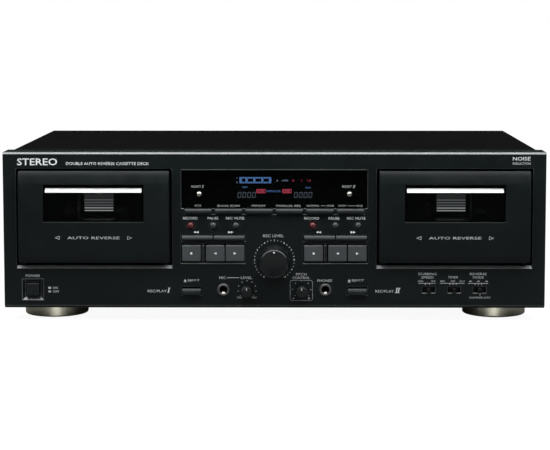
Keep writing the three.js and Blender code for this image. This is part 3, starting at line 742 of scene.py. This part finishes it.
def print_bottom_row(shape):
    """Lines and marks by the power button, the microphone level and the slide switches."""
    line(shape, -37.8, 35.7, -28.3, 35.7, HAIRLINE, PRINT_AT)
    for z in ((26.6, 28.2), (23.7, 25.1)):
        shape.tile((-182.0, -179.9), z, INK_LAYER, FAINT)
    switch_scales = (
        (115.8, 129.9, (121.4, 124.8)),
        (133.2, 152.8, (141.0, 143.6, 146.2)),
        (155.7, 171.8, (161.4, 164.0, 166.6)),
    )
    for x0, x1, ticks in switch_scales:
        line(shape, x0, SWITCH_LINE, x1, SWITCH_LINE, 0.25, PRINT_AT)
        for x in ticks:
            line(shape, x, SWITCH_LINE, x, SWITCH_LINE - 1.4, HAIRLINE, PRINT_AT)
    for x in (157.6, 164.0, 170.6):
        line(shape, x - 1.0, 33.0, x + 1.0, 33.0, 0.5, PRINT_AT)
    line(shape, 165.4, 23.2, 165.4, 21.4, HAIRLINE, PRINT_AT)


def print_scales(shape):
    """The knobs' scales, with numbers round the large one, and the box round the pitch knob."""
    knob_x, knob_z = middle("record_level_knob")
    level_scale(shape, knob_x, knob_z, SCALE_RADIUS, SCALE_TURN, 30, number_every=3)
    out = SCALE_RADIUS + MARK_LENGTH / 2
    for i in range(11):
        angle = math.radians(SCALE_TURN * (i / 5 - 1))
        shape.words(str(i), knob_x + out * math.sin(angle), knob_z + out * math.cos(angle), 1.5, PRINT_AT)
    for node, steps in (("mic_level_knob", 8), ("pitch_knob", 6)):
        level_scale(shape, *middle(node), SMALL_SCALE_RADIUS, SMALL_SCALE_TURN, steps)
    for x0, z0, x1, z1 in ((14.6, 19.0, 16.0, 19.0), (27.0, 19.0, 28.6, 19.0), (27.8, 18.2, 27.8, 19.8)):
        line(shape, x0, z0, x1, z1, 0.35, PRINT_AT)
    outline(shape, rounded_box(12.7, 30.7, 17.3, 33.6, 1.6), 0.2, PRINT_AT, FAINT)


def make_face_print():
    shape = Shape()
    print_words(shape)
    print_bottom_row(shape)
    print_scales(shape)
    shape.finish("front_legends", ("print", "print_bright", "faint_print"), "legend_print")


# ---- display

METER_ROWS = (115.9, 112.1)  # heights of the left and the right channel's blocks
METER_LEFT = -28.1
METER_STEP = 2.15
METER_JOINS = ((-28.1, 2.0), (-23.2, 1.8), (-17.0, 1.8), (-10.6, 1.8), (-4.4, 2.0))  # left edge, width
BADGES = (-14.5, 6.3)  # left edges of the two lit recording signs
COUNTERS = (-29.6, 15.8)  # left edges of the two counters
BLUE, PALE, RED, DIM, UNLIT = range(5)
DISPLAY_WORDS = [
    # words, left and right edge, middle height, height of the capitals, colour
    ("A", (1.6, 3.0), 113.7, 1.5, PALE),
    ("A-MON", (5.8, 10.8), 113.7, 1.5, PALE),
    ("B", (14.5, 15.9), 113.7, 1.6, RED),
    ("C", (21.2, 22.6), 113.7, 1.6, RED),
    ("+8", (26.0, 29.2), 113.7, 1.6, RED),
    ("MEM", (-25.8, -21.7), 108.3, 1.3, BLUE),
    ("MEM", (25.0, 29.1), 107.9, 1.3, BLUE),
    ("PARALLEL", (-6.2, 5.4), 105.2, 1.6, BLUE),
]


def nought(shape, x, z, width, height, depth, slot):
    """A slanted seven-bar digit that reads zero: six bars with small gaps between them."""
    lean = 0.14 * height
    gap = 0.16
    corners = ((0, 1), (1, 1), (1, 0.5), (1, 0), (0, 0), (0, 0.5))
    points = [Vector((x + u * width + v * lean, z + v * height)) for u, v in corners]
    for start, end in zip(points, points[1:] + points[:1]):
        inset = (end - start).normalized() * gap
        line(shape, *(start + inset), *(end - inset), 0.34, depth, slot)


def make_display():
    """The pane, the display tube behind it, its lit segments and the pane's legends."""
    refined("display_window", "display_pane", "smoked_window", bevel=0.25)
    x0, x1, z0, z1 = edges_of("display_window")
    front, back = depth_of("display_window")
    tube = Shape()
    tube.block((x0 + 1, x1 - 1), (back + 1.6, back + 2.6), (z0 + 0.4, z1 - 0.4))
    tube.block((-34, 34), (back + 0.9, back + 1.7), (98, 119))
    tube.finish("display_tube", ("dark",), "black_plastic", bevel=0.2)

    depth = back + 0.86
    layer = (depth - 0.05, depth)
    lit = Shape()
    for z, channel in zip(METER_ROWS, "LR"):
        for i in range(12):
            x = METER_LEFT + i * METER_STEP
            lit.tile((x, x + 1.85), (z - 0.6, z + 0.6), layer, BLUE)
        lit.words(channel, -29.9, z, 1.3, depth, PALE)
    for x, wide in METER_JOINS:
        lit.tile((x, x + wide), (112.9, 115.1), layer, BLUE)
    for words, x, z, height, slot in DISPLAY_WORDS:
        lit.words(words, x, z, height, depth, slot)
    for x in BADGES:
        lit.plate(rounded_box(x, x + 7.5, 103.5, 106.8, 0.5, 2), layer, RED)
        lit.words("REC", (x + 1.0, x + 5.4), 105.15, 1.7, depth - 0.06, UNLIT)
        lit.plate(rounded_box(x + 6.0, x + 6.9, 104.2, 106.1, 0.2, 2), (depth - 0.1, depth - 0.06), UNLIT)
    for x in COUNTERS:
        for i in range(4):
            nought(lit, x + i * 3.9, 100.0, 2.3, 4.2, depth, DIM)
    lit.finish("display_segments", ("blue", "pale", "red", "dim", "dark"), "display_light")

    printed = Shape()
    for z, height, *row in PANE_PRINT:
        for words, x0, x1 in row:
            printed.words(words, (x0, x1), z, height, front)
    for x0, x1 in ((37.4, 41.6), (58.6, 65.2)):
        line(printed, x0, PANE_ROW, x1, PANE_ROW, 0.25, front)
    numeral(printed, 1, -57.4, 109.4, 2.2, front)
    numeral(printed, 2, 63.2, 109.4, 2.2, front)
    printed.finish("display_legends", ("pane_print",), "legend_print")


# ---- doors and wells

REFLECTION_STRIP_HALF = 38.6  # half the length of the bright strip over a door's window
FLANGE = 4.9  # how far the pane's hidden flange reaches above its raised face
# A lamp window's ribs: height, and which of its three materials. Their glow is painted lamp light,
# brightest at the bottom.
LAMP_RIBS = ((85.9, 2), (88.1, 2), (90.3, 1), (92.5, 1), (94.7, 1), (97.6, 0), (100.5, 0))
# The tape head's blocks: middle, half width, depth, height, material.
HEAD_BLOCKS = (
    (0, 7.0, (4.2, 11.5), (52.4, 57.2), 0),
    (0, 2.2, (4.6, 11.1), (57.0, 58.6), 0),
    (-11.7, 3.1, (5.0, 10.6), (52.4, 55.0), 1),
    (11.7, 3.1, (5.0, 10.6), (52.4, 55.0), 1),
)
CAPSTANS = (32, 12.0, 63.5)  # half their spacing, depth of the foot, height
ROLLERS = (36.2, 13.9, 57.5)
LAMP_HALF = 11.9
LIP_HALF = 62.5


def make_door(deck):
    body = f"door_{deck}"
    refined(f"door_panel_{deck}", "door", "door_plastic", bevel=0.45, sharp=24, segments=3)
    refined(f"cassette_holder_{deck}", "mechanism", "black_plastic", bevel=0.3)
    refined(f"door_window_{deck}", "pane", "smoked_window", bevel=0.15)
    centre_x = middle(f"door_window_{deck}")[0]

    # A near-white strip lies on the pane's sloping top edge, a hair proud of it: a painted reflection of
    # the light above.
    top = edges_of(f"door_window_{deck}")[3] - FLANGE
    front, back, low = -4.98, -3.06, top - 3.4
    section = [(front, low), (back, top), (back + 0.46, top - 0.4), (front + 0.46, low)]
    strip = Shape()
    strip.extruded(section, (centre_x - REFLECTION_STRIP_HALF, centre_x + REFLECTION_STRIP_HALF))
    strip.finish(f"window_reflection_strip_{deck}", ("trim",), "bright_trim", body, bevel=0.08)

    face = depth_of(f"door_panel_{deck}")[0]
    legend = Shape()
    legend.words("AUTO REVERSE", (centre_x - 20.9, centre_x + 20.9), 68.7, 2.1, face)
    for way in (-1, 1):
        x = centre_x + way * 28.8
        corners = [(x - way * 1.6, 70.0), (x - way * 1.6, 67.4), (x + way * 1.9, 68.7)]
        outline(legend, corners, 0.32, face)
    legend.finish(f"door_legend_{deck}", ("faint_print",), "legend_print", body)


def make_well(deck):
    """The mechanism seen through the window and past the open door."""
    refined(f"mechanism_frame_{deck}", "mechanism", "black_plastic", bevel=0.3)
    for reel in ("supply", "takeup"):
        refined(f"{reel}_reel_hub_{deck}", "reel", "black_plastic", bevel=0.15)
    centre_x = middle(f"mechanism_frame_{deck}")[0]

    lamp = Shape()
    lamp.block((centre_x - LAMP_HALF, centre_x + LAMP_HALF), (32.6, 33.9), (85.8, 104.8))
    rib = (centre_x - LAMP_HALF + 0.2, centre_x + LAMP_HALF - 0.2)
    # The ribs glow as painted lamp light, the lower ones brighter.
    for z, slot in LAMP_RIBS:
        lamp.block(rib, (31.6, 32.8), (z, z + 0.7), slot)
    looks = ("lamp_low", "lamp_mid", "lamp_high")
    lamp.finish(f"lamp_window_{deck}", looks, "display_light", bevel=0.12)

    # A pale grey sloping strip on the well's lower lip: a painted highlight.
    lip = Shape()
    section = ((-0.02, 43.3), (2.1, 45.44), (2.4, 45.1), (0.3, 43.0))
    lip.extruded(section, (centre_x - LIP_HALF, centre_x + LIP_HALF))
    lip.finish(f"well_lip_{deck}", ("lip",), "fascia_plastic", bevel=0.1)

    steel = Shape()
    rubber = Shape()
    for side in (-1, 1):
        spindle = facing_front(centre_x + side * CAPSTANS[0], *CAPSTANS[1:])
        steel.turned([(1.32, -1.0), (1.4, -0.8), (1.4, 11.0), (1.32, 11.4)], spindle, 20)
        axle = facing_front(centre_x + side * ROLLERS[0], *ROLLERS[1:])
        steel.turned([(0.9, 0), (0.9, 7.0), (0.7, 7.4)], axle, 16)
        roller = axle @ Matrix.Translation((0, 0, 1.0 * MM))
        rubber.turned([(2.0, 0), (5.2, 0.0), (5.4, 0.3), (5.4, 5.7), (5.2, 6.0), (2.0, 6.0)], roller, 32)
    steel.turned([(5.6, 0), (5.6, 0.9), (5.0, 1.1)], facing_front(centre_x, 14.0, 70.0), 28)
    steel.finish(f"capstans_{deck}", ("steel",), "nickel", sharp=30)
    rubber.finish(f"pinch_rollers_{deck}", ("rubber",), "roller_rubber", sharp=30)

    head = Shape()
    for x, half, depth, z, slot in HEAD_BLOCKS:
        head.block((centre_x + x - half, centre_x + x + half), depth, z, slot)
    head.finish(f"tape_head_{deck}", ("nickel", "dark"), "nickel", bevel=0.5, segments=3)


# ---- keys and knobs

LARGE_KEYS = ("stop_key", "reverse_play_key", "play_key")
ROUND_KEYS = ("record_key", "pause_key", "record_mute_key")
SWITCHES = ("dubbing_speed_switch", "timer_switch", "reverse_mode_switch")


def span(first, last, gap):
    """From a gap left of one node to a gap right of another, in millimetres."""
    return edges_of(first)[0] - gap, edges_of(last)[1] + gap


def edge_strip(shape, x, z, height):
    """A painted highlight under a slot: a thin light grey ramp along its lower edge, proud of the face."""
    shape.extruded(((-0.6 * height, z - height), (-0.01, z), (0.3, z), (0.3, z - height)), x)


def make_front_trim():
    """Light grey strips proud of the face, painted as the highlights of edges that catch the light: under
    the key slots, above the display, and round the power button.
    """
    shape = Shape()
    for deck in DECKS:
        slots = (
            # first and last key, gap beside them, height of the slot's lower edge, height of the strip
            ("stop_key", "play_key", 0.8, 47.6, 0.7),
            ("rewind_key", "forward_key", 0.8, 65.4, 0.4),
            ("eject_key", "eject_key", 0.6, 21.4, 0.35),
        )
        for first, last, gap, z, height in slots:
            edge_strip(shape, span(f"{first}_{deck}", f"{last}_{deck}", gap), z, height)
    for node in SWITCHES:
        x = middle(node)[0]
        for part in ((x - 5.2, x - 0.9), (x + 1.9, x + 5.2)):
            edge_strip(shape, part, 23.7, 0.8)
    edge_strip(shape, span("function_key_1", "function_key_6", 0.5), 87.1, 0.4)
    # A painted highlight along the display window's top edge.
    x0, x1, _, z1 = edges_of("display_window")
    shape.block((x0 + 2, x1 - 2), (-0.05, 0.1), (z1 - 1.5, z1 - 0.9))
    # A painted highlight as a square frame round the power button.
    x, z = middle("power_button")
    outer, inner = 8.9, 8.35
    for side in (-1, 1):
        shape.block((x - outer, x + outer), (-0.35, 0.2), sorted((z + side * outer, z + side * inner)))
        shape.block(sorted((x + side * outer, x + side * inner)), (-0.35, 0.2), (z - inner, z + inner))
    shape.finish("front_painted_highlights", ("edge",), "fascia_plastic", bevel=0.06)


def make_key_carrier():
    """The dark carrier behind the front panel that guides the keys, with a pad under each."""
    pad = 2.6
    half = 82
    inner = 52  # the lower wings stand behind the eject keys only
    shape = Shape()
    shape.block((-half, half), (14.2, 15.8), (36, 89))
    for side in (-1, 1):
        shape.block(sorted((side * inner, side * half)), (17.6, 19.2), (14.5, 40))
    for deck in DECKS:
        for key in LARGE_KEYS + ROUND_KEYS:
            x, z = middle(f"{key}_{deck}")
            shape.block((x - pad, x + pad), (13.9, 14.3), (z - pad, z + pad), slot=1)
    shape.finish("key_carrier", ("dark", "rubber"), "black_plastic", bevel=0.15)


def make_closing_frame():
    """The frame that closes the back of the fascia round the cover."""
    rim = 2.55
    inward = 1.5
    gap = 0.1
    left, right, bottom, top = edges_of("front_fascia")
    cover_left, cover_right, _, cover_top = edges_of("top_cover")
    behind = depth_of("top_cover")[0]
    depth = (behind - 2.2, behind - 0.8)
    across = (cover_left + inward + gap, cover_right - inward - gap)
    shape = Shape()
    shape.block((left + rim, cover_left + inward), depth, (bottom + rim, top - rim))
    shape.block((cover_right - inward, right - rim), depth, (bottom + rim, top - rim))
    shape.block(across, depth, (cover_top - inward, top - rim))
    shape.block(across, depth, (bottom + rim, bottom + rim + 4))
    shape.finish("closing_frame", ("dark",), "black_plastic", bevel=0.3)


def make_bar_key(node, slope):
    """A long key whose top front edge slopes back over that height, on its stem. The slope and the top take
    a lighter grey than the front: a painted highlight.
    """
    x0, x1, z0, z1 = edges_of(node)
    front, back = depth_of(node)
    cap = ((front, z0), (front, z1 - slope), (front + 0.6 * slope, z1), (6, z1), (6, z0))
    shape = Shape()
    shape.extruded(cap, (x0, x1), slots=(0, 1, 1, 0, 0))
    quarter = (x1 - x0) / 4
    shape.block((x0 + quarter, x1 - quarter), (5, back), (z0 + 0.6, z1 - 0.6))
    looks = ("dark_key", "key_slope")
    shape.finish(f"{node}_fine", looks, "key_plastic", body_of(node), bevel=0.2, stands_for=(node,))


def make_key_mark(node, way):
    """The sign on a large key: a square where way is 0, or else an arrow that way."""
    x, z = middle(node)
    depth = depth_of(node)[0]
    shape = Shape()
    if way:
        arrow(shape, x, z, 2.0, way, depth)
    else:
        shape.tile((x - 0.8, x + 0.8), (z - 0.8, z + 0.8), (depth - INK, depth))
    shape.finish(f"{node}_mark", ("print_bright",), "legend_print", body_of(node))


def make_keys():
    refined("power_button", "dark_key", "knob_plastic", bevel=0.3, segments=3)
    for i in range(1, 7):
        make_bar_key(f"function_key_{i}", 1.5)
    for deck in DECKS:
        refined(f"counter_reset_key_{deck}", "nickel", "nickel", sharp=40)
        refined(f"record_key_{deck}", "record", "record_red", sharp=40)
        for key in ("pause_key", "record_mute_key"):
            refined(f"{key}_{deck}", "round_key", "key_plastic", sharp=40)
        for key, slope in (("rewind_key", 2.1), ("forward_key", 2.1), ("eject_key", 2.0)):
            make_bar_key(f"{key}_{deck}", slope)
        for key, way in zip(LARGE_KEYS, (0, -1, 1)):
            refined(f"{key}_{deck}", "key", "key_plastic", bevel=0.35, segments=3)
            make_key_mark(f"{key}_{deck}", way)


def make_knob(node, profile, sharp, **turning):
    """A knob turned from (radius, height over the face) points, in place of the CAD's."""
    x, z = middle(node)
    shape = Shape()
    shape.turned(profile, facing_front(x, 0, z), **turning)
    shape.finish(f"{node}_fine", ("knob",), "knob_plastic", body_of(node), sharp=sharp, stands_for=(node,))


def make_level_knob():
    """The large knob: a skirt, a tapering body and a shallow dished face with a pointer."""
    node = "record_level_knob"
    x, z = middle(node)
    front, back = depth_of(node)
    tip = -front
    skirt = [(3.0, -back), (3.0, 1.0), (12.2, 1.0), (12.6, 1.4), (12.6, 2.6), (12.25, 3.2)]
    rim = [(11.55, tip - 1.5), (11.3, tip - 0.85), (10.75, tip - 0.2), (10.35, tip)]
    dish = [(9.9, tip - 0.1), (6.0, tip - 0.55), (0.001, tip - 0.7)]
    make_knob(node, skirt + rim + dish, 50, segments=96)
    mark = Shape()
    mark.turned([(0.75, tip - 0.5), (0.75, tip - 0.08)], facing_front(x, 0, z + 9.2), 20)
    mark.finish("record_level_pointer", ("print_bright",), "legend_print", "record_level", sharp=40)


def make_small_knob(node):
    """A slim fluted knob with a raised pointer on its face."""
    x, z = middle(node)
    front, back = depth_of(node)
    tip = -front
    side = [(2.4, -back), (2.4, 1.0), (4.7, 1.0), (4.9, 1.3), (4.9, tip - 3.4), (4.7, tip - 1.0)]
    face = [(4.25, tip - 0.3), (3.9, tip), (2.0, tip - 0.15), (0.001, tip - 0.2)]
    make_knob(node, side + face, 55, segments=144, ridges=18, ridge_depth=0.5)
    mark = Shape()
    mark.block((x - 0.28, x + 0.28), (front + 0.04, front + 0.4), (z + 1.2, z + 3.7))
    mark.finish(f"{node}_pointer", ("print",), "legend_print", body_of(node))


def make_jack(node):
    """A jack socket: a grey ring, a black bore and the sprung contact inside."""
    x, z = middle(node)
    front = depth_of(node)[0]
    refined(node, "jack_ring", "nickel", bevel=0.45, segments=3)
    lining = Shape()
    lining.turned([(3.18, -26), (3.18, 0.4), (2.75, 0.4), (2.75, -26)], facing_front(x, 0, z), 32)
    lining.finish(f"{node}_lining", ("dark",), "black_plastic", sharp=40)
    contact = Shape()
    leaf = ((0.4, -2.9), (0.9, -2.1), (2.4, -1.6), (9.0, -2.1), (9.0, -2.9))
    contact.extruded([(front + behind, z + up) for behind, up in leaf], (x - 1.3, x + 1.3))
    contact.finish(f"{node}_contact", ("contact",), "nickel", bevel=0.35, segments=3)


# ---- rear

JACK_ACROSS = 8  # half the spacing of the line jacks
JACK_UP = 8.5
REAR_PRINT = [
    # words, x, height, width, height of the capitals
    ("LINE IN", 136, 99.0, 12, 2.2),
    ("LINE OUT", 118, 99.0, 13, 2.2),
    ("L", 104.5, 82.5, 1.6, 2.2),
    ("R", 104.5, 65.5, 1.8, 2.2),
    ("AC IN", -176, 53.5, 10, 2.4),
]


def line_jack_place(dx, dz, inward=0.0):
    """A frame on a line jack's axis that looks to the back, sunk inward from the jacks' rear face."""
    low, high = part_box("line_jacks")
    centre = (low + high) / 2
    spot = (centre.x + dx * MM, high.y - inward * MM, centre.z + dz * MM)
    return Matrix.Translation(spot) @ FACING_BACK


def make_rear():
    """Insulators in the line jacks, their sleeves and the rear legends."""
    ring = [(1.75, -3), (3.3, -3), (3.3, 0.0), (3.1, 0.15), (1.9, 0.15), (1.75, 0.0)]
    sleeve = [(4.2, -10.4), (4.24, -10.0), (4.24, -0.4), (4.1, -0.02), (3.35, -0.02), (3.35, -2.0)]
    sleeves = Shape()
    for colour, dx in (("red_plastic", -JACK_ACROSS), ("white_plastic", JACK_ACROSS)):
        rings = Shape()
        for dz in (-JACK_UP, JACK_UP):
            rings.turned(ring, line_jack_place(dx, dz, 0.2), 28)
            sleeves.turned(sleeve, line_jack_place(dx, dz), 32)
        name = f"line_jack_insulators_{colour}"
        REAR.objects.link(rings.finish(name, (colour,), "jack_insulator", sharp=40))
    REAR.objects.link(sleeves.finish("line_jack_sleeves", ("nickel",), "nickel", sharp=40))

    legends = Shape()
    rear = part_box("rear_panel")[1].y + 0.02 * MM
    for text, x, z, width, height in REAR_PRINT:
        place = Matrix.Translation((x * MM, rear, z * MM)) @ FACING_BACK
        legends.words(text, (-width / 2, width / 2), 0, height, 0, place=place)
    REAR.objects.link(legends.finish("rear_legends", ("rear_print",), "legend_print"))


# ---- stage

FLOOR_HALF = 6.0
FLOOR_COLOUR = (0.15, 0.15, 0.15, 1)
FLOOR_GLOW = 0.94  # how bright the floor is near the deck; it fades to 1, the world's white, further out
GLOW_FADE = (0.35, 0.9)  # metres from the middle
AMBIENT = (0.006, 0.25)  # the world's light near the horizon and straight above
AMBIENT_FROM = 0.4  # the height on the unit sphere where the ambient starts to rise


def floor_material():
    """A pale matt floor that glows for the camera only."""
    look = Look("pale_floor", (0, 0, 0), 0.9, specular=0.0)
    look.set("Base Color", FLOOR_COLOUR)
    look.set("Emission Color", (1, 1, 1, 1))
    place = look.node("ShaderNodeNewGeometry").outputs["Position"]
    distance = look.node("ShaderNodeVectorMath", operation="LENGTH", Vector=place).outputs["Value"]
    glow = look.ranged(distance, FLOOR_GLOW, 1.0, *GLOW_FADE)
    seen = look.node("ShaderNodeLightPath").outputs["Is Camera Ray"]
    look.feed("Emission Strength", look.product(seen, glow))
    return look.material


def make_stage():
    """The floor, and a world that is white for the camera and lights the part softly from above."""
    mesh = bpy.data.meshes.new("floor")
    half = FLOOR_HALF
    corners = [(-half, -half, 0), (half, -half, 0), (half, half, 0), (-half, half, 0)]
    mesh.from_pydata(corners, [], [(0, 1, 2, 3)])
    floor = add_object("floor", mesh)
    mesh.materials.append(floor_material())

    world = bpy.data.worlds.new("studio")
    bpy.context.scene.world = world
    world.use_nodes = True
    tree = world.node_tree
    background = tree.nodes["Background"]
    background.inputs["Color"].default_value = (1, 1, 1, 1)
    direction = new_node(tree, "ShaderNodeTexCoord").outputs["Generated"]
    height = new_node(tree, "ShaderNodeSeparateXYZ", Vector=direction).outputs["Z"]
    low, high = AMBIENT
    rise = {"From_Min": AMBIENT_FROM, "To_Min": low, "To_Max": high}
    ambient = new_node(tree, "ShaderNodeMapRange", Value=height, **rise).outputs["Result"]
    seen = new_node(tree, "ShaderNodeLightPath").outputs["Is Camera Ray"]
    strength = new_node(tree, "ShaderNodeMapRange", Value=seen, To_Min=ambient, To_Max=1.0)
    tree.links.new(strength.outputs["Result"], background.inputs["Strength"])


def add_softbox(name, location, target, width, height, power, shines_on=None):
    """A rectangular lamp at location, turned to target. With shines_on, it lights only those pieces."""
    lamp = bpy.data.lights.new(name, "AREA")
    lamp.shape = "RECTANGLE"
    lamp.size = width
    lamp.size_y = height
    lamp.energy = power
    box = add_object(name, lamp)
    box.location = location
    box.rotation_mode = "QUATERNION"
    box.rotation_quaternion = (Vector(target) - Vector(location)).to_track_quat("-Z", "Y")
    box.visible_camera = False
    if shines_on:
        box.light_linking.receiver_collection = shines_on


def make_lights():
    """A strip over the front edge and high softboxes before and behind.

    The cover, the back and the feet, which those leave dark or would wash out, have lights of their own.
    """
    all_but_cover = bpy.data.collections.new("all_but_cover")
    for piece in COVER.objects:
        all_but_cover.objects.link(piece)
    for item in all_but_cover.collection_objects:
        item.light_linking.link_state = "EXCLUDE"
    add_softbox("rear_top", (0, 1.1, 1.9), (0, 0.1, 0.08), 1.8, 0.6, 3)
    add_softbox("overhead", (0, -0.27, 0.53), (0, -0.14, 0.05), 2.2, 0.3, 12.5, all_but_cover)
    add_softbox("front_top", (0, -1.25, 1.45), (0, -0.1, 0.08), 1.8, 0.55, 6, all_but_cover)
    add_softbox("front_fill", (0, -1.8, 0.9), (0, -0.1, 0.07), 2.4, 0.4, 1.0, all_but_cover)
    for side in (-1, 1):
        add_softbox(f"side_{side}", (side * 1.7, 0.45, 0.42), (side * 0.2, 0.05, 0.07), 1.2, 0.6, 22, COVER)
    add_softbox("rear_light", (0, 1.8, 0.85), (0, 0.14, 0.07), 1.6, 0.7, 55, REAR)
    add_softbox("foot_light", (0, -1.7, 0.12), (0, -0.1, 0.02), 0.8, 0.25, 6, FEET)


def make_camera():
    """A long lens a little above the deck, almost square to its front."""
    looking_down = 5.195
    turned_left = 0.32
    camera = bpy.data.cameras.new("camera")
    camera.lens = 109.6
    camera.shift_x = -0.027
    camera.shift_y = -0.109
    holder = add_object("camera", camera)
    holder.location = (0.0199, -1.4528, 0.2479)
    holder.rotation_euler = (math.radians(90 - looking_down), 0, math.radians(turned_left))
    bpy.context.scene.camera = holder


# ---- build

make_case()
make_screws()
make_face_print()
make_display()
for deck_number in DECKS:
    make_door(deck_number)
    make_well(deck_number)
make_front_trim()
make_key_carrier()
make_closing_frame()
make_keys()
make_level_knob()
make_small_knob("mic_level_knob")
make_small_knob("pitch_knob")
make_jack("mic_jack")
make_jack("phones_jack")
for switch in SWITCHES:
    refined(switch, "thumb", "black_plastic", bevel=0.2)
make_rear()
make_stage()
make_lights()
make_camera()
bpy.context.scene.view_settings.view_transform = "Standard"
